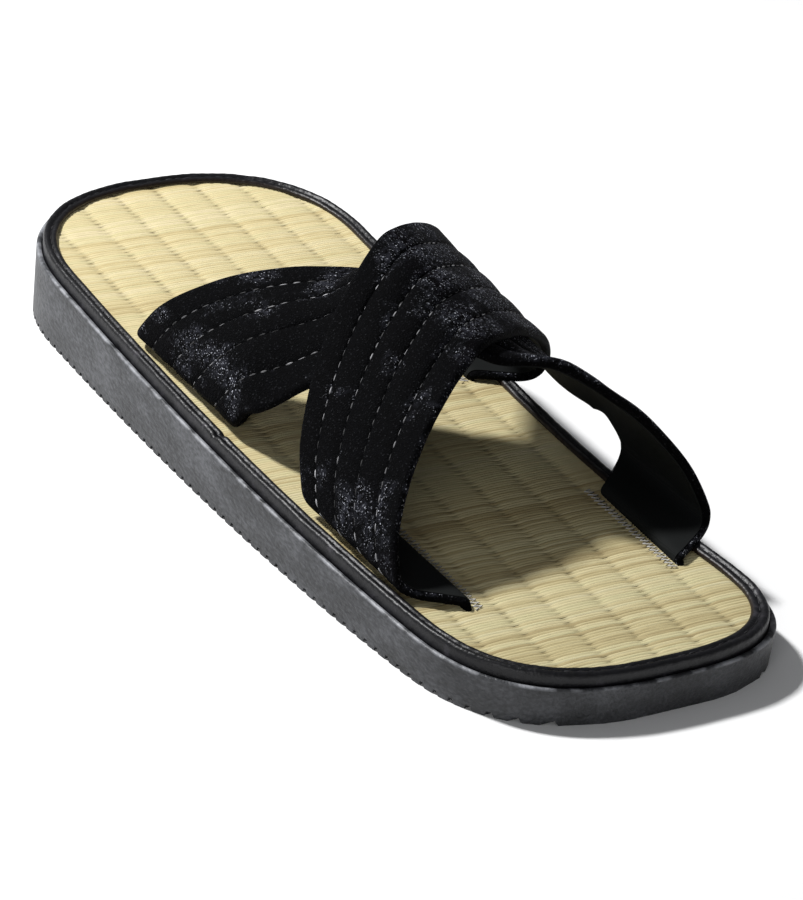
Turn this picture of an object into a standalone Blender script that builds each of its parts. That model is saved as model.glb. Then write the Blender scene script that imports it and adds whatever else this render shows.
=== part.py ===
"""Zori sandal with two crossed straps, a woven mat and a ribbed, wedge-shaped outsole.

The sandal stands on z = 0 with its toe towards -Y and its heel towards +Y. The origin is at
the middle of its footprint. Sizes are in millimetres and are turned to metres at the end.
"""
import math

import bmesh
import bpy
from mathutils import Vector

MM = 0.001

# Sole: overall length, and the height of its upper rim at each end
LENGTH = 277.2
TOE_HEIGHT = 10.2
HEEL_HEIGHT = 21.6

# Visible mat outline: widest breadth, sideways bow, and length and squareness of its round ends
MAT_WIDTH = 92.0
BOW = -8.2
TOE_ROUND = 36.0
TOE_SQUARENESS = 2.75
HEEL_ROUND = 44.0
HEEL_SQUARENESS = 2.4
END_STEPS = 13
SIDE_STEPS = 12

# Sides of the mat from toe to heel: share of the half length, of the width and of the bow
MAT_SIDES = ((-1.0, 0.943, 0.0), (-0.5, 0.924, 1.0), (0.0, 0.956, 1.0), (0.5, 0.994, 0.545),
             (1.0, 0.993, 0.0))

# Border outside the visible mat, from the mat's edge to the outsole's wall
BORDER = 5.7
LEDGE = 1.4
RIM_DROP = 0.35
EDGE_ROUND = 0.6
WALL_BATTER = 0.3

# The rounded upper edge of the outsole's wall: shares of the round, inwards and down
EDGE_SECTION = ((0.0, 1.0), (0.3, 0.3), (1.0, 0.0))

# Footbed: the mat lies in a shallow tray and the binding covers its edge
TRAY_DEPTH = 2.0
MAT_THICKNESS = 3.5
CLEARANCE = 0.3
LAP = 1.6
LIP_THICKNESS = 0.8
BEAD_RISE = 1.4

# The binding's upper side: the bead from its outer side to its inner side, by shares of its
# width and height, then the lip from the bead to the mat, by shares of its width and thickness
BEAD_SECTION = ((0.0, 0.0), (0.12, 0.6), (0.5, 1.0), (1.0, 0.92))
LIP_SECTION = ((0.65, 0.75), (0.5, 1.0), (0.08, 0.88), (0.0, 0.6), (0.0, 0.0))

# Ribs across the outsole's underside
RIB_PITCH = 4.5
GROOVE_WIDTH = 1.9
GROOVE_FLOOR = 1.1
GROOVE_DEPTH = 1.3

# Straps: thickness, their middle line beside the footprint's, the spacing of the slits, and the
# spread and height of the bulge where a strap's side turns up over the foot
STRAP_THICKNESS = 2.4
STRAP_LINE = 1.5
SLIT_SPACING = 65.0
STRAP_SPREAD = 94.5
BULGE_HEIGHT = 8.0
TOP_STEPS = 10
CURVE_STEPS = 3

# Each strap: height of its arch over the mat, how full and how lopsided the arch is, how far
# its heel edge tips up, and the stretch of each base along Y
STRAPS = {
    "over": {"toe_side": -1, "height": 46.0, "fullness": 1.55, "lean": -2.7, "tip": 0.14,
             "toe_base": (-98.5, -52.0), "heel_base": (2.0, 58.0)},
    "under": {"toe_side": 1, "height": 40.5, "fullness": 1.75, "lean": -6.0, "tip": -0.15,
              "toe_base": (-98.5, -57.0), "heel_base": (-1.0, 62.0)},
}

# Where the straps cross: the over strap presses the under strap down, which fades out beside its
# edges in this stretch, and they are joined where the under strap is drawn up to it in this reach
PRESS_FADE = 20.0
JOIN_REACH = 28.0
JOIN_CORE = 0.5
JOIN_DEPTH = 1.2

# Lower part of a strap's side, from the slit out to the bulge: shares of the reach sideways
# from slit to bulge, and of the bulge's height
STRAP_FOOT = ((0.0, 0.0), (0.04, 0.22), (0.27, 0.42), (0.7, 0.58), (0.95, 0.8))

# A strap's cross-section: share of its width, and share of half its thickness
STRAP_SECTION = ((0.0, 0.0), (0.012, 0.7), (0.035, 1.0), (0.27, 1.0), (0.5, 1.0),
                 (0.73, 1.0), (0.965, 1.0), (0.988, 0.7), (1.0, 0.0))
SHARE_STEP = 0.01

MAT_HALF_LENGTH = LENGTH / 2 - BORDER
TRAY_GROW = BORDER - LEDGE
MAT_RISE = MAT_THICKNESS + CLEARANCE - TRAY_DEPTH


def clear_scene():
    for item in list(bpy.data.objects):
        bpy.data.objects.remove(item, do_unlink=True)


def along_share(y):
    return y / MAT_HALF_LENGTH


def side_share(y, column):
    """A column of MAT_SIDES read at y, on the smooth curve through the table's rows."""
    total = 0.0
    for row in MAT_SIDES:
        weight = 1.0
        for other in MAT_SIDES:
            if other is not row:
                weight *= (along_share(y) - other[0]) / (row[0] - other[0])
        total += weight * row[column]
    return total


def bow(y):
    return BOW * side_share(y, 2)


def centre_line(y):
    """Sideways place of the sandal's middle at y: bowed, with the footprint's box on x = 0."""
    return bow(y) - box_middle()


def rim_height(y):
    """Height of the outsole's upper rim at y."""
    return TOE_HEIGHT + (HEEL_HEIGHT - TOE_HEIGHT) * (y / LENGTH + 0.5)


def mat_height(y):
    return rim_height(y) + MAT_RISE


def half_width(y):
    return MAT_WIDTH / 2 * side_share(y, 1)


def edge_stations(grow):
    """Places along one side from toe to heel, each with its share of the full width."""
    half = MAT_HALF_LENGTH + grow
    toe = TOE_ROUND + grow
    heel = HEEL_ROUND + grow
    stations = []
    for step in range(END_STEPS):
        turn = math.pi / 2 * step / END_STEPS
        along = math.cos(turn) ** (2 / TOE_SQUARENESS)
        stations.append((-half + toe * (1 - along), math.sin(turn) ** (2 / TOE_SQUARENESS)))
    for step in range(SIDE_STEPS + 1):
        stations.append((-half + toe + (2 * half - toe - heel) * step / SIDE_STEPS, 1.0))
    for step in range(END_STEPS - 1, -1, -1):
        turn = math.pi / 2 * step / END_STEPS
        along = math.cos(turn) ** (2 / HEEL_SQUARENESS)
        stations.append((half - heel * (1 - along), math.sin(turn) ** (2 / HEEL_SQUARENESS)))
    return stations


def box_middle():
    """Middle of the footprint's box, measured from the straight line that the bow starts at."""
    rim = [(bow(y), (half_width(y) + BORDER) * share) for y, share in edge_stations(BORDER)]
    return (min(x - out for x, out in rim) + max(x + out for x, out in rim)) / 2


def outline(grow):
    """The mat's outline grown outwards, counter-clockwise from above, from the toe's tip."""
    stations = edge_stations(grow)
    right = [(centre_line(y) + (half_width(y) + grow) * share, y) for y, share in stations]
    left = [(centre_line(y) - (half_width(y) + grow) * share, y) for y, share in stations[1:-1]]
    return right + left[::-1]


def ring(grow, height):
    return [Vector((x, y, height(y))) for x, y in outline(grow)]


def ring_above_rim(grow, rise):
    return ring(grow, lambda y: rim_height(y) + rise)


def mesh_object(name, rings, closed=False):
    """A closed surface through rings of points: a capped tube, or a loop of rings."""
    bm = bmesh.new()
    loops = [[bm.verts.new(point * MM) for point in points] for points in rings]
    pairs = list(zip(loops, loops[1:]))
    if closed:
        pairs.append((loops[-1], loops[0]))
    else:
        bm.faces.new(loops[0])
        bm.faces.new(loops[-1])
    for first, second in pairs:
        for index in range(len(first)):
            after = (index + 1) % len(first)
            bm.faces.new((first[index], first[after], second[after], second[index]))
    bmesh.ops.recalc_face_normals(bm, faces=bm.faces)
    mesh = bpy.data.meshes.new(name)
    bm.to_mesh(mesh)
    bm.free()
    mesh.shade_smooth()
    mesh.set_sharp_from_angle(angle=math.radians(35))
    item = bpy.data.objects.new(name, mesh)
    bpy.context.scene.collection.objects.link(item)
    return item


def hide_cutter(item):
    item.hide_render = True
    item.display_type = "WIRE"


def boolean(item, other, operation):
    modifier = item.modifiers.new(operation.lower(), "BOOLEAN")
    modifier.object = other
    modifier.operation = operation
    modifier.solver = "EXACT"


def material(name, colour, roughness):
    made = bpy.data.materials.new(name)
    made.use_nodes = True
    shader = made.node_tree.nodes["Principled BSDF"]
    shader.inputs["Base Color"].default_value = (*colour, 1.0)
    shader.inputs["Roughness"].default_value = roughness
    shader.inputs["Metallic"].default_value = 0.0
    return made


def rib_cutter():
    """A comb whose teeth cut the grooves between the ribs."""
    reach = MAT_WIDTH / 2 + BORDER + abs(BOW) + RIB_PITCH
    below = -2 * GROOVE_DEPTH
    root = -GROOVE_DEPTH
    slope = (GROOVE_WIDTH - GROOVE_FLOOR) / 2 / GROOVE_DEPTH
    count = int(LENGTH / RIB_PITCH) - 1
    end = LENGTH / 2 + RIB_PITCH
    profile = [(end, below), (-end, below), (-end, root)]
    for index in range(count):
        middle = (index - (count - 1) / 2) * RIB_PITCH
        wide = GROOVE_WIDTH / 2 - slope * root
        narrow = GROOVE_FLOOR / 2
        profile += [(middle - wide, root), (middle - narrow, GROOVE_DEPTH)]
        profile += [(middle + narrow, GROOVE_DEPTH), (middle + wide, root)]
    profile.append((end, root))
    sides = [[Vector((x, y, z)) for y, z in profile] for x in (-reach, reach)]
    cutter = mesh_object("rib_cutter", sides)
    hide_cutter(cutter)
    return cutter


def build_outsole():
    """A wedge with a tray for the footbed, a narrow ledge round it and ribs below."""
    rings = [ring(BORDER - WALL_BATTER, lambda y: 0.0)]
    for inwards, down in EDGE_SECTION:
        rings.append(ring_above_rim(BORDER - EDGE_ROUND * inwards, -EDGE_ROUND * down))
    rings.append(ring_above_rim(TRAY_GROW, -RIM_DROP))
    rings.append(ring_above_rim(TRAY_GROW, -TRAY_DEPTH))
    sole = mesh_object("outsole", rings)
    boolean(sole, rib_cutter(), "DIFFERENCE")
    sole.data.materials.append(material("outsole_foam", (0.035, 0.035, 0.04), 0.75))


def build_binding():
    """The bead on the mat's edge, with a lip that laps over the mat."""
    outer = TRAY_GROW - CLEARANCE
    inner = LAP + CLEARANCE
    foot = CLEARANCE - TRAY_DEPTH
    under_lip = MAT_RISE + CLEARANCE
    section = [(outer, foot)]
    for across, up in BEAD_SECTION:
        section.append((outer + (inner - outer) * across, under_lip + BEAD_RISE * up))
    for across, up in LIP_SECTION:
        section.append((inner * across, under_lip + LIP_THICKNESS * up))
    section += [(inner, under_lip), (inner, foot)]
    rings = [ring_above_rim(grow, rise) for grow, rise in section]
    binding = mesh_object("edge_binding", rings, closed=True)
    binding.data.materials.append(material("binding_vinyl", (0.01, 0.01, 0.012), 0.35))


def slit_cutter(side, base):
    """The slit that one strap end passes through."""
    middle = STRAP_LINE + side * SLIT_SPACING / 2
    left = middle - STRAP_THICKNESS / 2 - CLEARANCE
    right = middle + STRAP_THICKNESS / 2 + CLEARANCE
    rings = []
    for y in (base[0] - CLEARANCE, base[1] + CLEARANCE):
        low = mat_height(y) - 2 * MAT_THICKNESS
        high = mat_height(y) + MAT_THICKNESS
        rings.append([Vector((left, y, low)), Vector((right, y, low)),
                      Vector((right, y, high)), Vector((left, y, high))])
    cutter = mesh_object("slit_cutter", rings)
    hide_cutter(cutter)
    return cutter


def build_insole():
    """The woven mat on its board, with a slit for each end of the straps."""
    rings = [ring_above_rim(LAP, MAT_RISE - MAT_THICKNESS), ring_above_rim(LAP, MAT_RISE)]
    mat = mesh_object("tatami_insole", rings)
    for strap in STRAPS.values():
        boolean(mat, slit_cutter(strap["toe_side"], strap["toe_base"]), "DIFFERENCE")
        boolean(mat, slit_cutter(-strap["toe_side"], strap["heel_base"]), "DIFFERENCE")
    mat.data.materials.append(material("rush_mat", (0.62, 0.53, 0.33), 0.7))


def curve_through(points, steps):
    """A smooth curve through the points, with the given steps in each span."""
    ends = [2 * points[0] - points[1]] + points + [2 * points[-1] - points[-2]]
    curve = []
    for a, b, c, d in zip(ends, ends[1:], ends[2:], ends[3:]):
        for step in range(steps):
            t = step / steps
            bend = (2 * a - 5 * b + 4 * c - d) * t ** 2 + (3 * b - a - 3 * c + d) * t ** 3
            curve.append(b + ((c - a) * t + bend) / 2)
    return curve + [points[-1]]


def arch(strap):
    """The strap's path over the foot: sideways, height over the mat, and progress from 0 to 1.

    It starts and ends with a tab that goes down through the mat to its underside.
    """
    slit = SLIT_SPACING / 2
    spread = STRAP_SPREAD / 2
    foot = [Vector((slit + (spread - slit) * out, BULGE_HEIGHT * up)) for out, up in STRAP_FOOT]
    top = []
    for step in range(TOP_STEPS + 1):
        turn = math.pi * step / TOP_STEPS
        power = 2 / strap["fullness"]
        out = math.copysign(abs(math.cos(turn)) ** power, -math.cos(turn))
        up = abs(math.sin(turn)) ** power
        rise = (strap["height"] - BULGE_HEIGHT) * up
        top.append(Vector((spread * out + strap["lean"] * up, BULGE_HEIGHT + rise)))
    left = [Vector((-point.x, point.y)) for point in foot]
    path = curve_through(left + top + foot[::-1], CURVE_STEPS)
    lengths = [0.0]
    for before, after in zip(path, path[1:]):
        lengths.append(lengths[-1] + (after - before).length)
    stations = [(point.x, point.y, length / lengths[-1]) for point, length in zip(path, lengths)]
    tabs = [(path[0].x, -MAT_THICKNESS, 0.0), (path[-1].x, -MAT_THICKNESS, 1.0)]
    return tabs[:1] + stations + tabs[1:]


def strap_y(strap, progress, share):
    """Place along the sandal of a line on the strap: 0 is its toe edge, 1 its heel edge."""
    toe_base, heel_base = strap["toe_base"], strap["heel_base"]
    at_toe = toe_base[0] + (toe_base[1] - toe_base[0]) * share
    at_heel = heel_base[0] + (heel_base[1] - heel_base[0]) * share
    from_toe = progress if strap["toe_side"] < 0 else 1 - progress
    return at_toe + (at_heel - at_toe) * from_toe


def arch_share(strap, out):
    """How far up its arch the strap is at a sideways place."""
    share = min(abs(out - strap["lean"]) / (STRAP_SPREAD / 2), 1.0)
    return (1 - share ** strap["fullness"]) ** (1 / strap["fullness"])


def over_height(out, y):
    """Height over the mat of the over strap's middle surface, near its crown."""
    strap = STRAPS["over"]
    up = arch_share(strap, out)
    progress = 0.5 + (out - strap["lean"]) / STRAP_SPREAD / 2
    middle = strap_y(strap, progress, 0.5)
    return BULGE_HEIGHT + (strap["height"] - BULGE_HEIGHT) * up + strap["tip"] * up * (y - middle)


def pressed(out, y, up):
    """Height of the under strap once the over strap, where it covers it, has pressed it down."""
    strap = STRAPS["over"]
    progress = 0.5 + (out - strap["lean"]) / STRAP_SPREAD / 2
    beyond = max(strap_y(strap, progress, 0.0) - y, y - strap_y(strap, progress, 1.0), 0.0)
    hold = max(1 - beyond / PRESS_FADE, 0.0)
    hold = hold * hold * (3 - 2 * hold)
    slope = (over_height(out + 1, y) - over_height(out - 1, y)) / 2
    room = (STRAP_THICKNESS + CLEARANCE) * math.hypot(1.0, slope)
    return up - hold * max(up - over_height(out, y) + room, 0.0)


def strap_point(name, station, share):
    """A point of the strap's middle surface."""
    strap = STRAPS[name]
    out, up, progress = station
    y = strap_y(strap, progress, share)
    crown = min(max((up - BULGE_HEIGHT) / (strap["height"] - BULGE_HEIGHT), 0.0), 1.0)
    up += crown * strap["tip"] * (y - strap_y(strap, progress, 0.5))
    if name == "under":
        up = pressed(out, y, up)
        middle = strap_y(strap, 0.5, 0.5)
        away = math.hypot(out - strap["lean"], y - middle) / JOIN_REACH
        pull = min(max((1 - away) / (1 - JOIN_CORE), 0.0), 1.0)
        pull = pull * pull * (3 - 2 * pull)
        joined = over_height(out, y) - STRAP_THICKNESS + JOIN_DEPTH
        up += pull * (joined - up)
    return Vector((STRAP_LINE + out, y, mat_height(y) + up))


def build_strap(name):
    strap = STRAPS[name]
    stations = arch(strap)
    upper = [(share, half * STRAP_THICKNESS / 2) for share, half in STRAP_SECTION]
    lower = [(share, -offset) for share, offset in upper[-2:0:-1]]
    rings = []
    for index, station in enumerate(stations):
        before = stations[max(index - 1, 0)]
        after = stations[min(index + 1, len(stations) - 1)]
        points = []
        for share, offset in upper + lower:
            run = strap_point(name, after, share) - strap_point(name, before, share)
            point = strap_point(name, station, share)
            across = strap_point(name, station, share + SHARE_STEP) - point
            points.append(point + run.cross(across).normalized() * offset)
        rings.append(points)
    return mesh_object(name + "_strap", rings)


def build_upper():
    """Both straps, joined where they cross."""
    upper = build_strap("over")
    upper.name = "strap_upper"
    under = build_strap("under")
    hide_cutter(under)
    boolean(upper, under, "UNION")
    upper.data.materials.append(material("velvet", (0.012, 0.012, 0.014), 0.85))


clear_scene()
build_outsole()
build_insole()
build_binding()
build_upper()
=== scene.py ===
import math
import random

import bmesh
import bpy
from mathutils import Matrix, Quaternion, Vector, noise


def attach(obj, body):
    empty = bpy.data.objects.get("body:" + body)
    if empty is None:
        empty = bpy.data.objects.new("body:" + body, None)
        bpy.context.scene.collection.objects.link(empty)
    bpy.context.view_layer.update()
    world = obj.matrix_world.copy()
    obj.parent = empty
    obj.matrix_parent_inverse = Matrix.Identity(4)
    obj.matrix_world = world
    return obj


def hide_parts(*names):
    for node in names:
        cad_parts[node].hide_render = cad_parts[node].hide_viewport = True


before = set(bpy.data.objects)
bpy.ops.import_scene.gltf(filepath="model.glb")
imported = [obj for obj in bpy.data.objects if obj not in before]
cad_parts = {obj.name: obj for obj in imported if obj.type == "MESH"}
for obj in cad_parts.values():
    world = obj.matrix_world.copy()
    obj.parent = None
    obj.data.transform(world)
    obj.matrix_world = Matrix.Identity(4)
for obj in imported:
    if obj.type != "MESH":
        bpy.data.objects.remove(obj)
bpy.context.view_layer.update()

# Outsole
# One moulded wedge of dark grey foam rubber, thin at the toe and thick at the heel. Its rounded upper edge,
# with a painted highlight in broken dashes, stands round a narrow ledge, and straight ribs run across its
# underside. Its wall carries painted shade, darker towards the bottom and the toe.
MM = 0.001
SOLE_LENGTH = 277.2
TOE_HEIGHT = 10.2
HEEL_HEIGHT = 21.6
MAT_WIDTH = 92.0
BOW = -8.2
TOE_ROUND = 36.0
TOE_SQUARENESS = 2.75
HEEL_ROUND = 44.0
HEEL_SQUARENESS = 2.4
BORDER = 5.7
LEDGE = 1.4
TRAY_DEPTH = 2.0
EDGE_ROUND = 0.6
BATTER = 0.3
RIB_PITCH = 4.5
RIB_FOOT = 2.6
RIB_ROOT = 3.4
RIB_DEPTH = 1.3
# Rows: place from toe, -1, to heel, 1; share of the mat's width; share of the bow
MAT_SIDES = ((-1.0, 0.943, 0.0), (-0.5, 0.924, 1.0), (0.0, 0.956, 1.0), (0.5, 0.994, 0.545),
             (1.0, 0.993, 0.0))
MAT_HALF_LENGTH = SOLE_LENGTH / 2 - BORDER


def side_share(y, column):
    """A column of MAT_SIDES read at y, on the smooth curve through the table's rows."""
    total = 0.0
    for row in MAT_SIDES:
        weight = 1.0
        for other in MAT_SIDES:
            if other is not row:
                weight *= (y / MAT_HALF_LENGTH - other[0]) / (row[0] - other[0])
        total += weight * row[column]
    return total


def half_width(y, grow):
    """Half the sole's breadth at y, for the mat's outline grown outwards."""
    full = MAT_WIDTH / 2 * side_share(y, 1) + grow
    ends = ((-y, TOE_ROUND + grow, TOE_SQUARENESS), (y, HEEL_ROUND + grow, HEEL_SQUARENESS))
    for out, reach, squareness in ends:
        along = (out - (MAT_HALF_LENGTH + grow - reach)) / reach
        if along > 0:
            full *= max(1 - min(along, 1.0) ** squareness, 0.0) ** (1 / squareness)
    return full


def edge_places(grow, end_steps, side_steps):
    """Places along one side from toe to heel, closer together round the ends."""
    half = MAT_HALF_LENGTH + grow
    toe, heel = TOE_ROUND + grow, HEEL_ROUND + grow
    turns = [math.pi / 2 * step / end_steps for step in range(end_steps)]
    places = [-half + toe * (1 - math.cos(turn) ** (2 / TOE_SQUARENESS)) for turn in turns]
    for step in range(side_steps + 1):
        places.append(-half + toe + (2 * half - toe - heel) * step / side_steps)
    places += [half - heel * (1 - math.cos(turn) ** (2 / HEEL_SQUARENESS)) for turn in turns[::-1]]
    return places


bowed_edges = [(BOW * side_share(y, 2), half_width(y, BORDER)) for y in edge_places(BORDER, 13, 12)]
BOX_MIDDLE = (min(x - out for x, out in bowed_edges) + max(x + out for x, out in bowed_edges)) / 2


def centre_line(y):
    return BOW * side_share(y, 2) - BOX_MIDDLE


def rim_height(y):
    return TOE_HEIGHT + (HEEL_HEIGHT - TOE_HEIGHT) * (y / SOLE_LENGTH + 0.5)


def sole_ring(grow, height, end_steps=70, side_steps=110):
    """The grown outline as points, counter-clockwise from above; height is a function of y."""
    places = edge_places(grow, end_steps, side_steps)
    right = [Vector((centre_line(y) + half_width(y, grow), y, height(y))) for y in places]
    left = [Vector((centre_line(y) - half_width(y, grow), y, height(y))) for y in places[1:-1]]
    return right + left[::-1]


def skin(name, rings, closed=False, capped=False):
    """A smooth skin through closed rings of points, with a UV map in metres round and across."""
    count, size = len(rings), len(rings[0])
    middle = rings[count // 2]
    around = [0.0]
    for index in range(size):
        around.append(around[-1] + (middle[(index + 1) % size] - middle[index]).length * MM)
    across = [0.0]
    for index in range(count):
        across.append(across[-1] + (rings[(index + 1) % count][0] - rings[index][0]).length * MM)
    faces, uvs = [], []
    for row in range(count if closed else count - 1):
        after = (row + 1) % count
        for index in range(size):
            beside = (index + 1) % size
            faces.append((row * size + index, row * size + beside,
                          after * size + beside, after * size + index))
            uvs += [(around[index], across[row]), (around[index + 1], across[row]),
                    (around[index + 1], across[row + 1]), (around[index], across[row + 1])]
    if capped:
        faces += [tuple(range(size)), tuple(range((count - 1) * size, count * size))]
        uvs += [(point.x * MM, point.y * MM) for point in rings[0] + rings[-1]]
    mesh = bpy.data.meshes.new(name)
    mesh.from_pydata([point * MM for ring in rings for point in ring], [], faces)
    layer = mesh.uv_layers.new(name="UVMap")
    layer.data.foreach_set("uv", [number for pair in uvs for number in pair])
    bm = bmesh.new()
    bm.from_mesh(mesh)
    bmesh.ops.recalc_face_normals(bm, faces=bm.faces)
    bm.to_mesh(mesh)
    bm.free()
    mesh.shade_smooth()
    mesh.set_sharp_from_angle(angle=math.radians(50))
    piece = bpy.data.objects.new(name, mesh)
    bpy.context.scene.collection.objects.link(piece)
    return piece


def node(tree, kind, inputs=None, **settings):
    """Adds a node. Each input is a number or a colour to set, or another node's socket."""
    made = tree.nodes.new(kind)
    for key, value in settings.items():
        setattr(made, key, value)
    for socket, value in (inputs or {}).items():
        if isinstance(value, bpy.types.NodeSocket):
            tree.links.new(value, made.inputs[socket])
        else:
            made.inputs[socket].default_value = value
    return made


def sums(tree, operation, *values):
    """A Math node's result."""
    return node(tree, "ShaderNodeMath", dict(enumerate(values)), operation=operation).outputs[0]


def ramp(tree, factor, stops):
    """A Color Ramp's colour, from stops of place and colour."""
    made = node(tree, "ShaderNodeValToRGB", {"Fac": factor})
    elements = made.color_ramp.elements
    while len(elements) < len(stops):
        elements.new(0.5)
    for element, (place, colour) in zip(elements, stops):
        element.position = place
        element.color = (*colour, 1.0)
    return made.outputs["Color"]


def grain(tree, where, size, stretch=(1.0, 1.0, 1.0), detail=2.0):
    """Noise from 0 to 1 with grains of about the given size in metres."""
    placed = node(tree, "ShaderNodeMapping", {"Vector": where, "Scale": stretch})
    made = node(tree, "ShaderNodeTexNoise",
                {"Vector": placed.outputs[0], "Scale": 1 / size, "Detail": detail})
    return made.outputs["Fac"]


def mapped(tree, value, low, high, at_low=0.0, at_high=1.0):
    """The value's place between low and high, carried over to at_low and at_high."""
    made = node(tree, "ShaderNodeMapRange", {
        "Value": value, "From Min": low, "From Max": high, "To Min": at_low, "To Max": at_high})
    return made.outputs[0]


def mixed(tree, factor, first, second, blend="MIX"):
    """Two colours mixed by a factor."""
    made = node(tree, "ShaderNodeMix", {0: factor, 6: first, 7: second},
                data_type="RGBA", blend_type=blend)
    return made.outputs[2]


def finish(name, roughness, **numbers):
    """A material with its node tree, its shader and its object coordinates."""
    made = bpy.data.materials.new(name)
    made.use_nodes = True
    tree = made.node_tree
    shader = tree.nodes["Principled BSDF"]
    shader.inputs["Roughness"].default_value = roughness
    for socket, value in numbers.items():
        shader.inputs[socket.replace("_", " ")].default_value = value
    where = node(tree, "ShaderNodeTexCoord").outputs["Object"]
    return made, tree, shader, where


def relief(tree, shader, height, depth):
    """Bump from a height between 0 and 1, of a depth in metres."""
    bump = node(tree, "ShaderNodeBump", {"Height": height, "Distance": depth, "Strength": 1.0})
    tree.links.new(bump.outputs[0], shader.inputs["Normal"])


# Rows: outwards from the mat's edge; height over the floor
wall = ((BORDER - BATTER, RIB_DEPTH), (BORDER - 0.26, 2.5))
rings = [sole_ring(grow, lambda y, rise=rise: rise) for grow, rise in wall]
for step in range(5):
    turn = math.pi / 2 * step / 4
    grow = BORDER - EDGE_ROUND * (1 - math.cos(turn))
    drop = EDGE_ROUND * (1 - math.sin(turn))
    rings.append(sole_ring(grow, lambda y, drop=drop: rim_height(y) - drop))
for grow, rise in ((BORDER - 1.0, -0.1), (BORDER - LEDGE, -0.35), (BORDER - LEDGE, -TRAY_DEPTH)):
    rings.append(sole_ring(grow, lambda y, rise=rise: rim_height(y) + rise))
outsole = skin("outsole_body", rings, capped=True)

rib_count = int(SOLE_LENGTH / RIB_PITCH)
for index in range(rib_count):
    centre = (index - (rib_count - 1) / 2) * RIB_PITCH
    profile = [(-RIB_ROOT / 2, RIB_DEPTH), (-RIB_FOOT / 2 - 0.1, 0.25), (-RIB_FOOT / 2 + 0.2, 0.0),
               (RIB_FOOT / 2 - 0.2, 0.0), (RIB_FOOT / 2 + 0.1, 0.25), (RIB_ROOT / 2, RIB_DEPTH)]
    end = MAT_HALF_LENGTH + BORDER - 0.45
    if abs(centre) > end - RIB_PITCH:
        reach = end - abs(centre)
        profile = [(-RIB_ROOT / 2, RIB_DEPTH), (-RIB_FOOT / 2, 0.0), (reach - 1.2, 0.0),
                   (reach - 0.5, 0.0), (reach - 0.15, 0.0), (reach, RIB_DEPTH)]
        if centre < 0:
            profile = [(-across, low) for across, low in profile[::-1]]
    bars = []
    for across, low in profile:
        y = centre + across
        out = half_width(y, BORDER - BATTER)
        bars.append([Vector((centre_line(y) + side * out, y, z))
                     for side, z in ((-1, low), (1, low), (1, RIB_DEPTH + 0.2), (-1, RIB_DEPTH + 0.2))])
    rib = skin("rib", bars, capped=True)
    joined = bmesh.new()
    joined.from_mesh(outsole.data)
    joined.from_mesh(rib.data)
    joined.to_mesh(outsole.data)
    joined.free()
    bpy.data.objects.remove(rib, do_unlink=True)

foam, tree, shader, where = finish("foam_rubber", 0.5, Specular_IOR_Level=0.5)
cloud = grain(tree, where, 0.01, (1.0, 0.6, 1.3), 4.0)
speck = grain(tree, where, 0.0009, (1.0, 0.45, 1.0), 4.0)
blend = sums(tree, "ADD", sums(tree, "MULTIPLY", cloud, 0.5), sums(tree, "MULTIPLY", speck, 0.5))
colour = ramp(tree, blend, ((0.36, (0.014, 0.015, 0.017)), (0.5, (0.037, 0.039, 0.044)),
                            (0.64, (0.082, 0.085, 0.094))))
place = node(tree, "ShaderNodeSeparateXYZ", {0: where}).outputs
# Painted shade: the wall is darkened towards its bottom and its toe, where less light reaches it.
low = mapped(tree, place["Z"], 0.0, 0.011, 0.6)
toe = mapped(tree, place["Y"], -0.13, -0.06, 0.6)
painted_low_toe_shade = sums(tree, "MULTIPLY", low, toe)
colour = mixed(tree, painted_low_toe_shade, mixed(tree, 1.0, colour, (0.3, 0.3, 0.31, 1.0), "MULTIPLY"), colour)
slope = (HEEL_HEIGHT - TOE_HEIGHT) / SOLE_LENGTH
even_height = sums(tree, "SUBTRACT", place["Z"], sums(tree, "MULTIPLY", place["Y"], slope))
# Painted highlight: broken pale dashes along the wall's rounded upper edge.
edge = mapped(tree, even_height, (rim_height(0.0) - 0.7) * MM, (rim_height(0.0) - 0.2) * MM)
painted_edge_highlight = mapped(tree, grain(tree, where, 0.006, detail=4.0), 0.4, 0.6, 0.0, 0.75)
colour = mixed(tree, sums(tree, "MULTIPLY", edge, painted_edge_highlight), colour, (0.38, 0.39, 0.42, 1.0))
tree.links.new(colour, shader.inputs["Base Color"])
relief(tree, shader, speck, 0.0004)
outsole.data.materials.append(foam)
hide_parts("outsole")
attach(outsole, "root")

# Rush mat
# Dried rushes laid side by side across the sole and woven over cords that run along it. The
# cords pinch the rushes into soft columns. The mat is glued to a thin board in the sole's tray.
MAT_THICKNESS = 3.5
CLEARANCE = 0.3
LAP = 1.6
RUSH_PITCH = 1.02
CORD_PITCH = 13.3
CORD_START = -23.0
CORD_REACH = 1.1
CORD_DIP = 0.26
COLUMN_REACH = 2.7
COLUMN_RISE = 0.3
RUSH_WIDTH = 1.3
RUSH_HEIGHT = 0.26
RUSH_WAVER = 0.4
MAT_RISE = MAT_THICKNESS + CLEARANCE - TRAY_DEPTH


def mat_height(y):
    return rim_height(y) + MAT_RISE


def node_group(name, sockets):
    """An empty geometry node tree with named inputs."""
    tree = bpy.data.node_groups.new(name, "GeometryNodeTree")
    tree.interface.new_socket("Geometry", in_out="INPUT", socket_type="NodeSocketGeometry")
    tree.interface.new_socket("Geometry", in_out="OUTPUT", socket_type="NodeSocketGeometry")
    for socket in sockets:
        kind = "NodeSocketMaterial" if socket == "Material" else "NodeSocketFloat"
        tree.interface.new_socket(socket, in_out="INPUT", socket_type=kind)
    return tree, tree.nodes.new("NodeGroupInput").outputs, tree.nodes.new("NodeGroupOutput")


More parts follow.
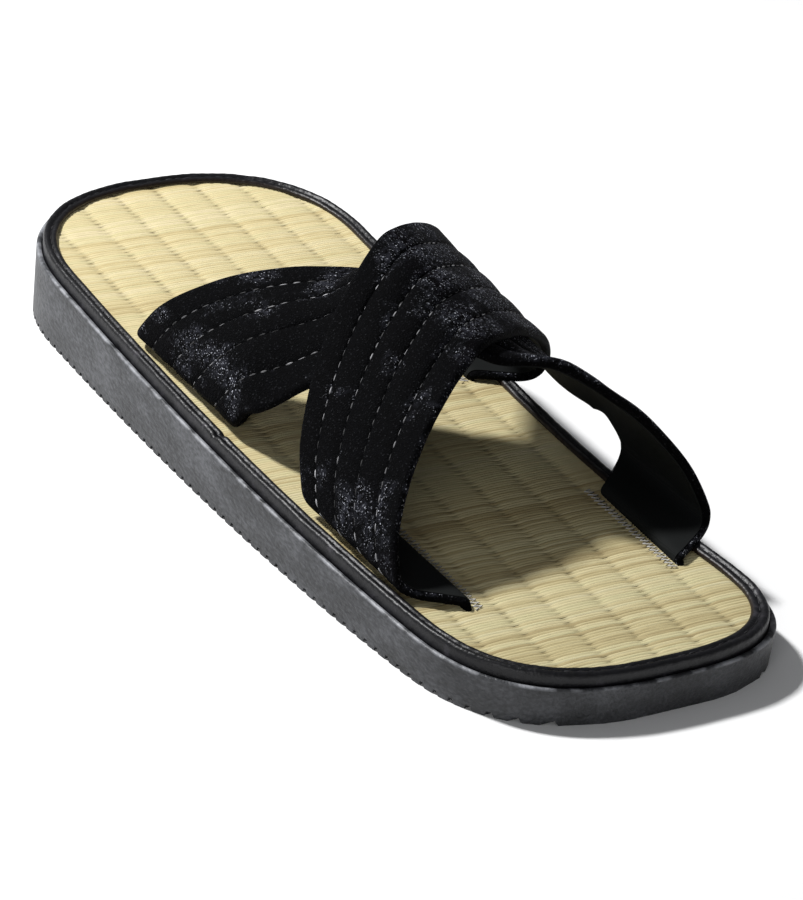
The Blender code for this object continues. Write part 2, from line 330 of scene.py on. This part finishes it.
def made_by_nodes(name, verts, edges, attributes, tree, values):
    """A plain mesh object: the tree's result on a host mesh of points, with values by name."""
    mesh = bpy.data.meshes.new(name)
    mesh.from_pydata([point * MM for point in verts], edges, [])
    for attribute, numbers in attributes.items():
        mesh.attributes.new(attribute, "FLOAT", "POINT").data.foreach_set("value", numbers)
    piece = bpy.data.objects.new(name, mesh)
    bpy.context.scene.collection.objects.link(piece)
    modifier = piece.modifiers.new(name, "NODES")
    modifier.node_group = tree
    for socket in tree.interface.items_tree:
        if socket.in_out == "INPUT" and socket.name in values:
            modifier[socket.identifier] = values[socket.name]
    depsgraph = bpy.context.evaluated_depsgraph_get()
    result = bpy.data.meshes.new_from_object(
        piece.evaluated_get(depsgraph), preserve_all_data_layers=True, depsgraph=depsgraph)
    piece.modifiers.remove(modifier)
    piece.data = result
    result.name = name
    bpy.data.meshes.remove(mesh)
    return piece


def bell(tree, away, reach):
    """1 where away is 0, falling to nothing beyond the reach."""
    squared = sums(tree, "POWER", sums(tree, "DIVIDE", away, reach), 2.0)
    return sums(tree, "EXPONENT", sums(tree, "MULTIPLY", squared, -1.0))


weave, given, result = node_group("rush_weave", (
    "Rush width", "Rush height", "Cord pitch", "Cord start", "Column rise", "Cord dip", "Material"))
rush = node(weave, "GeometryNodeMeshGrid",
            {"Size X": 2.0, "Size Y": given["Rush width"], "Vertices X": 92, "Vertices Y": 4})
place = node(weave, "ShaderNodeSeparateXYZ", {0: node(weave, "GeometryNodeInputPosition").outputs[0]})
half_rush = sums(weave, "MULTIPLY", given["Rush width"], 0.5)
across = sums(weave, "DIVIDE", place.outputs["Y"], half_rush)
rush = node(weave, "GeometryNodeStoreNamedAttribute",
            {"Geometry": rush.outputs["Mesh"], "Name": "across", "Value": across},
            data_type="FLOAT", domain="POINT")
half = node(weave, "GeometryNodeInputNamedAttribute", {"Name": "half"}, data_type="FLOAT")
wide = node(weave, "ShaderNodeCombineXYZ", {0: half.outputs[0], 1: 1.0, 2: 1.0})
laid = node(weave, "GeometryNodeInstanceOnPoints",
            {"Points": given["Geometry"], "Instance": rush.outputs[0], "Scale": wide.outputs[0]})
laid = node(weave, "GeometryNodeRealizeInstances", {"Geometry": laid.outputs[0]})
place = node(weave, "ShaderNodeSeparateXYZ", {0: node(weave, "GeometryNodeInputPosition").outputs[0]})
number = node(weave, "GeometryNodeInputNamedAttribute", {"Name": "rush"}, data_type="FLOAT").outputs[0]
across = node(weave, "GeometryNodeInputNamedAttribute", {"Name": "across"}, data_type="FLOAT").outputs[0]
column = sums(weave, "DIVIDE", sums(weave, "SUBTRACT", place.outputs["X"], given["Cord start"]),
              given["Cord pitch"])
cord = sums(weave, "ROUND", column)
away = sums(weave, "MULTIPLY", sums(weave, "SUBTRACT", column, cord), given["Cord pitch"])
near = bell(weave, away, CORD_REACH * MM)
broad = bell(weave, away, COLUMN_REACH * MM)
under = sums(weave, "FLOORED_MODULO", sums(weave, "ADD", number, cord), 2.0)
under = sums(weave, "MULTIPLY", near, sums(weave, "ADD", sums(weave, "MULTIPLY", under, 0.8), 0.2))
drift = node(weave, "ShaderNodeTexNoise", {"Vector": node(weave, "ShaderNodeCombineXYZ", {
    0: sums(weave, "MULTIPLY", place.outputs["X"], 60.0),
    1: sums(weave, "MULTIPLY", number, 0.37)}).outputs[0], "Scale": 1.0, "Detail": 1.0})
drift = sums(weave, "SUBTRACT", drift.outputs["Fac"], 0.5)
arc = sums(weave, "MULTIPLY", given["Rush height"], sums(
    weave, "SUBTRACT", 1.0, sums(weave, "POWER", across, 2.0)))
rise = sums(weave, "SUBTRACT", arc, sums(weave, "MULTIPLY", broad, given["Column rise"]))
rise = sums(weave, "SUBTRACT", rise, sums(weave, "MULTIPLY", under, given["Cord dip"]))
rise = sums(weave, "ADD", rise, sums(weave, "MULTIPLY", drift, RUSH_WAVER / 2 * MM))
move = node(weave, "ShaderNodeCombineXYZ", {
    0: 0.0, 1: sums(weave, "MULTIPLY", drift, RUSH_WAVER * MM), 2: rise})
laid = node(weave, "GeometryNodeSetPosition", {"Geometry": laid.outputs[0], "Offset": move.outputs[0]})
laid = node(weave, "GeometryNodeStoreNamedAttribute",
            {"Geometry": laid.outputs[0], "Name": "pinch", "Value": under},
            data_type="FLOAT", domain="POINT")
laid = node(weave, "GeometryNodeSetShadeSmooth", {"Geometry": laid.outputs[0]})
laid = node(weave, "GeometryNodeSetMaterial",
            {"Geometry": laid.outputs[0], "Material": given["Material"]})
weave.links.new(laid.outputs[0], result.inputs[0])

straw, tree, shader, where = finish("rush", 0.48, Specular_IOR_Level=0.3)
shade = node(tree, "ShaderNodeAttribute", attribute_name="shade").outputs["Fac"]
pinch = node(tree, "ShaderNodeAttribute", attribute_name="pinch").outputs["Fac"]
across = node(tree, "ShaderNodeAttribute", attribute_name="across").outputs["Fac"]
streak = grain(tree, where, 0.02, (1.0, 22.0, 1.0), 3.0)
tone = sums(tree, "ADD", sums(tree, "MULTIPLY", shade, 0.6), sums(tree, "MULTIPLY", streak, 0.4))
colour = ramp(tree, tone, ((0.15, (0.44, 0.33, 0.16)), (0.36, (0.64, 0.53, 0.28)),
                           (0.52, (0.74, 0.63, 0.36)), (0.66, (0.69, 0.61, 0.34)),
                           (0.85, (0.79, 0.68, 0.43))))
along = node(tree, "ShaderNodeSeparateXYZ", {0: where}).outputs["Y"]
# Painted shade: the mat's colour is made greyer towards the toe, where less light falls.
toe_shaded_colour = mixed(tree, 1.0, colour, (0.84, 0.87, 0.9, 1.0), "MULTIPLY")
colour = mixed(tree, mapped(tree, along, -0.12, 0.1), toe_shaded_colour, colour)
# Painted shade: the rushes are darkened in patches where they dip under the cords and at their edges.
gap = sums(tree, "POWER", sums(tree, "ABSOLUTE", across), 4.0)
shade_patchiness = mapped(tree, grain(tree, where, 0.005), 0.35, 0.65, 0.06, 0.62)
dark = sums(tree, "MAXIMUM", sums(tree, "MULTIPLY", pinch, shade_patchiness),
            sums(tree, "MULTIPLY", gap, sums(tree, "MULTIPLY", shade_patchiness, 0.3)))
colour = mixed(tree, dark, colour, (0.15, 0.11, 0.045, 1.0))
tree.links.new(colour, shader.inputs["Base Color"])
relief(tree, shader, grain(tree, where, 0.006, (1.0, 30.0, 1.0)), 0.00012)

board = skin("mat_board", [sole_ring(LAP - 0.1, lambda y: mat_height(y) - MAT_THICKNESS, 30, 40),
                           sole_ring(LAP - 0.1, lambda y: mat_height(y) - 0.75, 30, 40)], capped=True)
board.data.materials.append(straw)
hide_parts("tatami_insole")
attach(board, "root")

random.seed(11)
points, halves, shades, numbers = [], [], [], []
rush_count = int(2 * (MAT_HALF_LENGTH + LAP - 0.7) / RUSH_PITCH)
tone = 0.5
for index in range(rush_count):
    y = (index - (rush_count - 1) / 2) * RUSH_PITCH
    tone = min(max(tone + random.uniform(-0.16, 0.16), 0.2), 0.8)
    points.append(Vector((centre_line(y), y, mat_height(y) - RUSH_HEIGHT)))
    halves.append(half_width(y, LAP - 0.25) * MM)
    shades.append(min(max(tone + random.uniform(-0.3, 0.3), 0.0), 1.0))
    numbers.append(float(index))
mat = made_by_nodes("rush_mat", points, [], {"half": halves, "shade": shades, "rush": numbers}, weave, {
    "Rush width": RUSH_WIDTH * MM, "Rush height": RUSH_HEIGHT * MM, "Cord pitch": CORD_PITCH * MM,
    "Cord start": CORD_START * MM, "Column rise": COLUMN_RISE * MM, "Cord dip": CORD_DIP * MM,
    "Material": straw})
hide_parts("tatami_insole")
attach(mat, "root")

# Edge binding
# A strip of black vinyl wrapped round the mat's edge. A machine stitch runs in the channel
# between its outer roll and its inner lip, and the strip's ends meet on the outer side.
STITCH_PITCH = 3.2
STITCH_LENGTH = 2.3
THREAD = 0.42
JOINT_PLACE = -4.0
JOINT_REACH = 1.5


def vinyl_ring(grow, rise, pucker, cut):
    """One line of the binding's section, drawn in between its stitches and at its joint."""
    ring = sole_ring(grow, lambda y: rim_height(y) + rise, 200, 290)
    gone = 0.0
    for index, point in enumerate(ring):
        gone += (point - ring[index - 1]).length if index else 0.0
        point.z += pucker * 0.25 * (1 - math.cos(2 * math.pi * gone / STITCH_PITCH))
        point.z += pucker * 1.6 * noise.noise(point * 0.16)
        if point.x < 0:
            point.z -= cut * max(1 - abs(point.y - JOINT_PLACE) / JOINT_REACH, 0.0)
    return ring


# Rows: outwards from the mat's edge; height over the rim; pucker; depth of the joint's notch
section = ((4.0, -1.7, 0, 0), (4.0, 1.9, 0, 0.2), (3.92, 2.6, 0.05, 0.4), (3.6, 3.15, 0.1, 0.7),
           (3.1, 3.4, 0.14, 0.8), (2.55, 3.3, 0.16, 0.8), (2.2, 3.0, 0.2, 0.7), (1.95, 2.72, 0.1, 0.5),
           (1.7, 2.72, 0.1, 0.5), (1.45, 2.95, 0.2, 0.7), (1.0, 3.1, 0.16, 0.8), (0.5, 3.0, 0.1, 0.8),
           (0.15, 2.7, 0.05, 0.6), (0.0, 2.3, 0, 0.4), (0.06, 1.9, 0, 0), (1.8, 1.9, 0, 0),
           (1.85, -1.7, 0, 0))
binding = skin("vinyl_binding", [vinyl_ring(*line) for line in section], closed=True)
vinyl, tree, shader, where = finish("black_vinyl", 0.42, Specular_IOR_Level=0.35)
flat = node(tree, "ShaderNodeTexCoord").outputs["UV"]
across = node(tree, "ShaderNodeSeparateXYZ", {0: flat}).outputs["Y"]
wear = grain(tree, where, 0.004, detail=4.0)
colour = ramp(tree, wear, ((0.35, (0.003, 0.003, 0.004)), (0.6, (0.006, 0.006, 0.008)),
                           (0.75, (0.03, 0.028, 0.034))))
colour = mixed(tree, mapped(tree, across, 0.0083, 0.0089), colour, (0.012, 0.007, 0.005, 1.0))
tree.links.new(colour, shader.inputs["Base Color"])
relief(tree, shader, grain(tree, where, 0.0016, detail=3.0), 0.00025)
binding.data.materials.append(vinyl)
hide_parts("edge_binding")
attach(binding, "root")

stitching, given, result = node_group("stitch_row", ("Pitch", "Length", "Thickness", "Material"))
row = node(stitching, "GeometryNodeMeshToCurve", {"Mesh": given["Geometry"]})
row = node(stitching, "GeometryNodeResampleCurve", {"Curve": row.outputs[0], "Length": given["Pitch"]},
           mode="LENGTH")
thread = node(stitching, "GeometryNodeMeshUVSphere", {"Segments": 6, "Rings": 5, "Radius": 0.5})
wear = node(stitching, "FunctionNodeRandomValue", {"Min": 0.25, "Max": 1.0, "Seed": 8}, data_type="FLOAT")
thick = sums(stitching, "MULTIPLY", given["Thickness"], wear.outputs[1])
size = node(stitching, "ShaderNodeCombineXYZ", {0: given["Length"], 1: thick, 2: thick})
turn = node(stitching, "FunctionNodeAlignRotationToVector", {
    "Vector": node(stitching, "GeometryNodeInputTangent").outputs[0]}, axis="X")
sewn = node(stitching, "GeometryNodeInstanceOnPoints", {
    "Points": row.outputs[0], "Instance": thread.outputs["Mesh"],
    "Rotation": turn.outputs[0], "Scale": size.outputs[0]})
chance = node(stitching, "FunctionNodeRandomValue", {"Seed": 5}, data_type="FLOAT")
sewn = node(stitching, "GeometryNodeStoreNamedAttribute",
            {"Geometry": sewn.outputs[0], "Name": "shade", "Value": chance.outputs[1]},
            data_type="FLOAT", domain="INSTANCE")
sewn = node(stitching, "GeometryNodeRealizeInstances", {"Geometry": sewn.outputs[0]})
sewn = node(stitching, "GeometryNodeSetShadeSmooth", {"Geometry": sewn.outputs[0]})
sewn = node(stitching, "GeometryNodeSetMaterial",
            {"Geometry": sewn.outputs[0], "Material": given["Material"]})
stitching.links.new(sewn.outputs[0], result.inputs[0])


def thread_finish(name, dark, light):
    """Twisted thread whose stitches differ in tone, and go darker in patches here and there."""
    made, tree, shader, where = finish(name, 0.6)
    shade = node(tree, "ShaderNodeAttribute", attribute_name="shade").outputs["Fac"]
    twist = grain(tree, where, 0.0005)
    tone = sums(tree, "ADD", sums(tree, "MULTIPLY", shade, 0.6), sums(tree, "MULTIPLY", twist, 0.4))
    dim_patches = mapped(tree, grain(tree, where, 0.011), 0.4, 0.6, 0.45)
    tone = sums(tree, "MULTIPLY", tone, dim_patches)
    tree.links.new(ramp(tree, tone, ((0.25, dark), (0.75, light))), shader.inputs["Base Color"])
    relief(tree, shader, twist, 0.0001)
    return made


dark_thread = thread_finish("dark_thread", (0.006, 0.006, 0.008), (0.05, 0.05, 0.055))
channel = vinyl_ring(1.82, 2.85, 0.0, 0.5)
edges = [(index, (index + 1) % len(channel)) for index in range(len(channel))]
seam = made_by_nodes("binding_stitches", channel, edges, {}, stitching, {
    "Pitch": STITCH_PITCH * MM, "Length": STITCH_LENGTH * MM, "Thickness": THREAD * MM,
    "Material": dark_thread})
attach(seam, "root")

# Straps
# Two padded bands of black crushed velvet, quilted by rows of grey stitches into channels. Each
# end turns in at its foot and goes down a slit in the mat, and the bands are sewn where they cross.
STRAP_THICKNESS = 2.4
STRAP_LINE = 1.5
SLIT_SPACING = 65.0
STRAP_SPREAD = 94.5
BULGE_HEIGHT = 8.0
BAND_ROOM = 3.1
PRESS_FADE = 20.0
GATHER_REACH = 0.4
CORNER_ROUND = 4.0
CORNER_SPREAD = 0.035
JOIN_REACH = 28.0
JOIN_CORE = 0.5
JOIN_DEPTH = 1.2
PUFF = 1.15
PUFF_REACH = 0.42
SWAY = 1.4
EDGE_SHARE = 0.03
LINING_STEPS = 14
LINING_THICKNESS = 0.25
QUILT_PITCH = 3.7
QUILT_THREAD = 0.56
STITCH_ROWS = (0.19, 0.4, 0.605, 0.81)
# Rows: outwards from the slit, 0, to the bulge, 1; height as a share of the bulge's height
STRAP_FOOT = ((0.0, 0.0), (0.04, 0.16), (0.36, 0.2), (0.77, 0.27), (0.98, 0.52))
# toe_side is the side of the foot nearer the toe. lean moves the crown sideways and tip slopes it
# along the sandal. The bases are the places of a foot's toe edge and heel edge, and gathered draws
# the toe edge in at the foot on -X and at the one on +X.
STRAPS = {
    "over": {"toe_side": -1, "height": 46.0, "fullness": 1.55, "lean": -2.7, "tip": 0.14,
             "toe_base": (-98.5, -52.0), "heel_base": (2.0, 58.0), "gathered": (0.0, 0.0)},
    "under": {"toe_side": 1, "height": 40.5, "fullness": 1.75, "lean": -6.0, "tip": -0.15,
              "toe_base": (-98.5, -57.0), "heel_base": (-1.0, 62.0), "gathered": (9.0, 0.0)},
}


def curve_through(points, steps):
    """A smooth curve through the points, with the given steps in each span."""
    ends = [2 * points[0] - points[1]] + points + [2 * points[-1] - points[-2]]
    curve = []
    for a, b, c, d in zip(ends, ends[1:], ends[2:], ends[3:]):
        for step in range(steps):
            t = step / steps
            bend = (2 * a - 5 * b + 4 * c - d) * t ** 2 + (3 * b - a - 3 * c + d) * t ** 3
            curve.append(b + ((c - a) * t + bend) / 2)
    return curve + [points[-1]]


def arch(strap, tab):
    """The band's path over the foot: sideways, height over the mat, and progress from 0 to 1."""
    slit, spread = SLIT_SPACING / 2, STRAP_SPREAD / 2
    foot = [Vector((slit + (spread - slit) * out, BULGE_HEIGHT * up)) for out, up in STRAP_FOOT]
    top = []
    for step in range(11):
        turn = math.pi * step / 10
        power = 2 / strap["fullness"]
        out = math.copysign(abs(math.cos(turn)) ** power, -math.cos(turn))
        up = abs(math.sin(turn)) ** power
        rise = (strap["height"] - BULGE_HEIGHT) * up
        top.append(Vector((spread * out + strap["lean"] * up, BULGE_HEIGHT + rise)))
    left = [Vector((-point.x, point.y)) for point in foot]
    path = curve_through(left + top + foot[::-1], 10)
    gone = [0.0]
    for before, after in zip(path, path[1:]):
        gone.append(gone[-1] + (after - before).length)
    stations = [(point.x, point.y, length / gone[-1]) for point, length in zip(path, gone)]
    return [(path[0].x, -tab, 0.0)] + stations + [(path[-1].x, -tab, 1.0)]


def strap_y(strap, progress, share):
    """Place along the sandal of a line on the band: 0 is its toe edge, 1 its heel edge."""
    toe_base, heel_base = strap["toe_base"], strap["heel_base"]
    at_toe = toe_base[0] + (toe_base[1] - toe_base[0]) * share
    at_heel = heel_base[0] + (heel_base[1] - heel_base[0]) * share
    from_toe = progress if strap["toe_side"] < 0 else 1 - progress
    return at_toe + (at_heel - at_toe) * from_toe


def over_height(out, y):
    """Height over the mat of the upper band's middle surface, near its crown."""
    strap = STRAPS["over"]
    share = min(abs(out - strap["lean"]) / (STRAP_SPREAD / 2), 1.0)
    up = (1 - share ** strap["fullness"]) ** (1 / strap["fullness"])
    middle = strap_y(strap, 0.5 + (out - strap["lean"]) / STRAP_SPREAD / 2, 0.5)
    return BULGE_HEIGHT + (strap["height"] - BULGE_HEIGHT) * up + strap["tip"] * up * (y - middle)


def pressed(out, y, up):
    """Height of the lower band once the upper one, where it covers it, has pressed it down."""
    strap = STRAPS["over"]
    progress = 0.5 + (out - strap["lean"]) / STRAP_SPREAD / 2
    beyond = max(strap_y(strap, progress, 0.0) - y, y - strap_y(strap, progress, 1.0), 0.0)
    hold = max(1 - beyond / PRESS_FADE, 0.0)
    hold = hold * hold * (3 - 2 * hold)
    slope = (over_height(out + 1, y) - over_height(out - 1, y)) / 2
    room = BAND_ROOM * math.hypot(1.0, slope)
    return up - hold * max(up - over_height(out, y) + room, 0.0)


def strap_point(name, station, share):
    """A point of the band's middle surface."""
    strap = STRAPS[name]
    out, up, progress = station
    y = strap_y(strap, progress, share)
    crown = min(max((up - BULGE_HEIGHT) / (strap["height"] - BULGE_HEIGHT), 0.0), 1.0)
    up += crown * strap["tip"] * (y - strap_y(strap, progress, 0.5))
    if name == "under":
        up = pressed(out, y, up)
        away = math.hypot(out - strap["lean"], y - strap_y(strap, 0.5, 0.5)) / JOIN_REACH
        pull = min(max((1 - away) / (1 - JOIN_CORE), 0.0), 1.0)
        pull = pull * pull * (3 - 2 * pull)
        up += pull * (over_height(out, y) - STRAP_THICKNESS + JOIN_DEPTH - up)
    gather = max(1 - min(progress, 1 - progress) / GATHER_REACH, 0.0) ** 2
    y += gather * (strap["gathered"][progress > 0.5] * (1 - share) - CORNER_ROUND * share ** 4)
    out *= 1 + CORNER_SPREAD * gather * share
    return Vector((STRAP_LINE + out, y, mat_height(y) + up))


def strap_surface(name, stations, index, share, offset):
    """A point at a height off the band's middle surface, on its outer side where positive."""
    before, after = stations[max(index - 1, 0)], stations[min(index + 1, len(stations) - 1)]
    point = strap_point(name, stations[index], share)
    run = strap_point(name, after, share) - strap_point(name, before, share)
    across = strap_point(name, stations[index], share + 0.01) - point
    return point + run.cross(across).normalized() * offset


def quilt(share, progress):
    """Height of the band's outer side over its middle: puffed between rows, less at the feet."""
    lines = (0.0,) + STITCH_ROWS + (1.0,)
    for low, high in zip(lines, lines[1:]):
        if low <= share <= high:
            between = (share - low) / (high - low)
            if low == 0.0:
                between = max(between, 0.5) if share < 0.1 else between
            if high == 1.0:
                between = min(between, 0.5) if share > 0.9 else between
            puff = math.sin(math.pi * between) ** 0.5
            full = 0.25 + 0.75 * min(min(progress, 1 - progress) / PUFF_REACH, 1.0) ** 1.5
            return STRAP_THICKNESS / 2 - 0.5 + PUFF * puff * full
    return 0.0


def band_shares():
    """Places across the band, closer together at its edges and beside its stitch rows."""
    shares = []
    lines = (EDGE_SHARE,) + STITCH_ROWS + (1 - EDGE_SHARE,)
    for low, high in zip(lines, lines[1:]):
        for part in (0.0, 0.05, 0.13, 0.27, 0.5, 0.73, 0.87, 0.95):
            shares.append(low + (high - low) * part)
    return shares + [1 - EDGE_SHARE]


velvet, tree, shader, where = finish("crushed_velvet", 0.75, Specular_IOR_Level=0.03, Sheen_Weight=0.008,
                                     Sheen_Roughness=0.3, Sheen_Tint=(0.7, 0.72, 0.85, 1.0))
nap = grain(tree, where, 0.0005)
tuft = grain(tree, where, 0.0016, detail=3.0)
crush = grain(tree, where, 0.013, detail=3.0)
# Painted light: the velvet is lightened more where its faces turn to +X and up, and on flanks turned to -X.
surface_facing = node(tree, "ShaderNodeSeparateXYZ", {0: node(tree, "ShaderNodeNewGeometry").outputs["Normal"]})
painted_light_by_facing = sums(tree, "ADD", sums(tree, "MULTIPLY", surface_facing.outputs["X"], 0.22),
               sums(tree, "MULTIPLY", surface_facing.outputs["Z"], 0.17))
painted_light_by_facing = sums(tree, "ADD", painted_light_by_facing, mapped(tree, surface_facing.outputs["X"], -0.8, -0.98, 0.0, 0.3))
sheen_patch = mapped(tree, sums(tree, "ADD", crush, painted_light_by_facing), 0.575, 0.78, 0.03)
# Painted sheen and glints: fuzzy grey sheen and bright specks in crushed patches over the black base.
painted_sheen = sums(tree, "MULTIPLY", mapped(tree, tuft, 0.42, 0.66), sheen_patch)
soft = mixed(tree, painted_sheen, (0.0008, 0.0008, 0.0011, 1.0), (0.022, 0.023, 0.03, 1.0))
painted_glints = sums(tree, "MULTIPLY", mapped(tree, nap, 0.62, 0.72), sheen_patch)
tree.links.new(mixed(tree, painted_glints, soft, (0.55, 0.57, 0.64, 1.0)), shader.inputs["Base Color"])
relief(tree, shader, nap, 0.0004)

lining_cloth, tree, shader, where = finish("lining_cloth", 0.8, Specular_IOR_Level=0.08)
twill = node(tree, "ShaderNodeTexWave", {"Vector": where, "Scale": 900.0, "Distortion": 3.0})
twill = twill.outputs["Fac"]
colour = ramp(tree, twill, ((0.2, (0.008, 0.009, 0.009)), (0.8, (0.011, 0.012, 0.012))))
tree.links.new(colour, shader.inputs["Base Color"])
relief(tree, shader, twill, 0.00003)

grey_thread = thread_finish("grey_thread", (0.004, 0.004, 0.005), (0.5, 0.5, 0.52))

for name, strap in STRAPS.items():
    stations = arch(strap, MAT_THICKNESS * 0.8)
    shares = band_shares()
    heel_edge = 1 - EDGE_SHARE
    round_in = [(heel_edge + EDGE_SHARE * math.sin(turn), math.cos(turn)) for turn in (0.5, 1.0, 1.35)]
    rings = []
    for index, station in enumerate(stations):
        progress = station[2]
        upper = [(share, quilt(share, progress)) for share in shares]
        rounded = [(share, quilt(heel_edge, progress) * up) for share, up in round_in] + [(1.0, 0.0)]
        under = [(share, -STRAP_THICKNESS / 2 * up) for share, up in round_in[::-1]]
        under += [(heel_edge - (1 - 2 * EDGE_SHARE) * step / 12, -STRAP_THICKNESS / 2) for step in range(13)]
        under += [(1 - share, -STRAP_THICKNESS / 2 * up) for share, up in round_in] + [(0.0, 0.0)]
        start = [(1 - share, quilt(EDGE_SHARE, progress) * up) for share, up in round_in[::-1]]
        points = []
        for share, offset in upper + rounded + under + start:
            point = strap_surface(name, stations, index, share, offset)
            point.z += SWAY * min(progress, 1 - progress) * noise.noise(point * 0.09)
            points.append(point)
        rings.append(points)
    band = skin("strap_" + name, rings, capped=True)
    band.data.materials.append(velvet)
    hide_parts("strap_upper")
    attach(band, "root")

    inner = []
    places = [0.035 + 0.93 * step / LINING_STEPS for step in range(LINING_STEPS + 1)]
    for index in range(2, len(stations) - 2):
        loop = [(share, -STRAP_THICKNESS / 2 - LINING_THICKNESS) for share in places]
        loop += [(share, -STRAP_THICKNESS / 2 + 0.05) for share in places[::-1]]
        inner.append([strap_surface(name, stations, index, share, offset) for share, offset in loop])
    lining = skin("lining_" + name, inner, capped=True)
    lining.data.materials.append(lining_cloth)
    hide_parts("strap_upper")
    width = sum((ring[0] - ring[LINING_STEPS]).length for ring in inner) / len(inner) * MM
    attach(lining, "root")

    verts, edges = [], []
    for share in STITCH_ROWS:
        for index in range(3, len(stations) - 3):
            if index > 3:
                edges.append((len(verts) - 1, len(verts)))
            verts.append(strap_surface(name, stations, index, share, quilt(share, 0.5) + 0.06))
    sewn = made_by_nodes("stitches_" + name, verts, edges, {}, stitching, {
        "Pitch": QUILT_PITCH * MM, "Length": STITCH_LENGTH * MM, "Thickness": QUILT_THREAD * MM,
        "Material": grey_thread})
    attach(sewn, "root")

# Anchor stitches
# White thread, sewn to and fro along the inner side of each slit, holds the band's end to the mat.
ANCHOR_STEP = 0.8
# Rows: inwards from the slit; height over the mat. The stitches go from one to the other
ANCHOR_TURNS = ((0.5, 0.1), (2.9, 0.3))
zigzag, given, result = node_group("thread_line", ("Thickness", "Material"))
line = node(zigzag, "GeometryNodeMeshToCurve", {"Mesh": given["Geometry"]})
circle = node(zigzag, "GeometryNodeCurvePrimitiveCircle", {
    "Resolution": 6, "Radius": sums(zigzag, "MULTIPLY", given["Thickness"], 0.5)})
line = node(zigzag, "GeometryNodeCurveToMesh", {
    "Curve": line.outputs[0], "Profile Curve": circle.outputs[0], "Fill Caps": True})
line = node(zigzag, "GeometryNodeSetShadeSmooth", {"Geometry": line.outputs[0]})
line = node(zigzag, "GeometryNodeSetMaterial", {"Geometry": line.outputs[0], "Material": given["Material"]})
zigzag.links.new(line.outputs[0], result.inputs[0])

white_thread = thread_finish("white_thread", (0.5, 0.49, 0.47), (0.85, 0.84, 0.8))
verts, edges = [], []
for strap in STRAPS.values():
    for side, base in ((strap["toe_side"], strap["toe_base"]), (-strap["toe_side"], strap["heel_base"])):
        slit = STRAP_LINE + side * (SLIT_SPACING / 2 - STRAP_THICKNESS / 2)
        start = base[0] + strap["gathered"][side > 0]
        for step in range(int((base[1] - start) / ANCHOR_STEP)):
            y = start + ANCHOR_STEP * step
            inwards, up = ANCHOR_TURNS[step % 2]
            inwards += random.uniform(-0.25, 0.25)
            if step:
                edges.append((len(verts) - 1, len(verts)))
            verts.append(Vector((slit - side * inwards, y, mat_height(y) + up)))
anchors = made_by_nodes("anchor_stitches", verts, edges, {}, zigzag, {
    "Thickness": THREAD * MM, "Material": white_thread})
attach(anchors, "root")

# Studio
# The sandal stands on a pale plain floor, lit by a key from behind its heel on the outer side and
# a weak, broad fill from the toe's outer side.
floor_mesh = bpy.data.meshes.new("floor")
floor_mesh.from_pydata([(-3, -3, 0), (3, -3, 0), (3, 3, 0), (-3, 3, 0)], [], [(0, 1, 2, 3)])
floor = bpy.data.objects.new("floor", floor_mesh)
bpy.context.scene.collection.objects.link(floor)
paper, tree, shader, where = finish("floor_paper", 0.9)
colour = ramp(tree, grain(tree, where, 0.3), ((0.3, (0.93, 0.93, 0.93)), (0.7, (0.95, 0.95, 0.95))))
tree.links.new(colour, shader.inputs["Base Color"])
floor_mesh.materials.append(paper)

world = bpy.data.worlds.new("studio")
world.use_nodes = True
world.node_tree.nodes["Background"].inputs["Color"].default_value = (0.95, 0.97, 1.0, 1.0)
world.node_tree.nodes["Background"].inputs["Strength"].default_value = 0.15
bpy.context.scene.world = world
bpy.context.scene.view_settings.view_transform = "Standard"

aim = Vector((-0.006, -0.025, 0.017))
for name, place, width, power in (("key", (-0.56, 0.74, 1.15), 0.14, 30.0),
                                  ("fill", (-0.9, -0.85, 0.38), 0.5, 2.8)):
    data = bpy.data.lights.new(name, "AREA")
    data.size = width
    data.energy = power
    lamp = bpy.data.objects.new(name, data)
    lamp.location = place
    lamp.rotation_euler = (aim - Vector(place)).to_track_quat("-Z", "Y").to_euler()
    bpy.context.scene.collection.objects.link(lamp)

lens = bpy.data.cameras.new("camera")
lens.sensor_width = 36.0
lens.sensor_fit = "HORIZONTAL"
lens.lens = 164.0
lens.clip_start = 0.05
camera = bpy.data.objects.new("camera", lens)
camera.location = (-0.49933, -0.72628, 0.46268)
level = (aim - camera.location).to_track_quat("-Z", "Y")
roll = Quaternion((0.0, 0.0, 1.0), math.radians(7.36))
camera.rotation_euler = (level @ roll).to_euler()
bpy.context.scene.collection.objects.link(camera)
bpy.context.scene.camera = camera
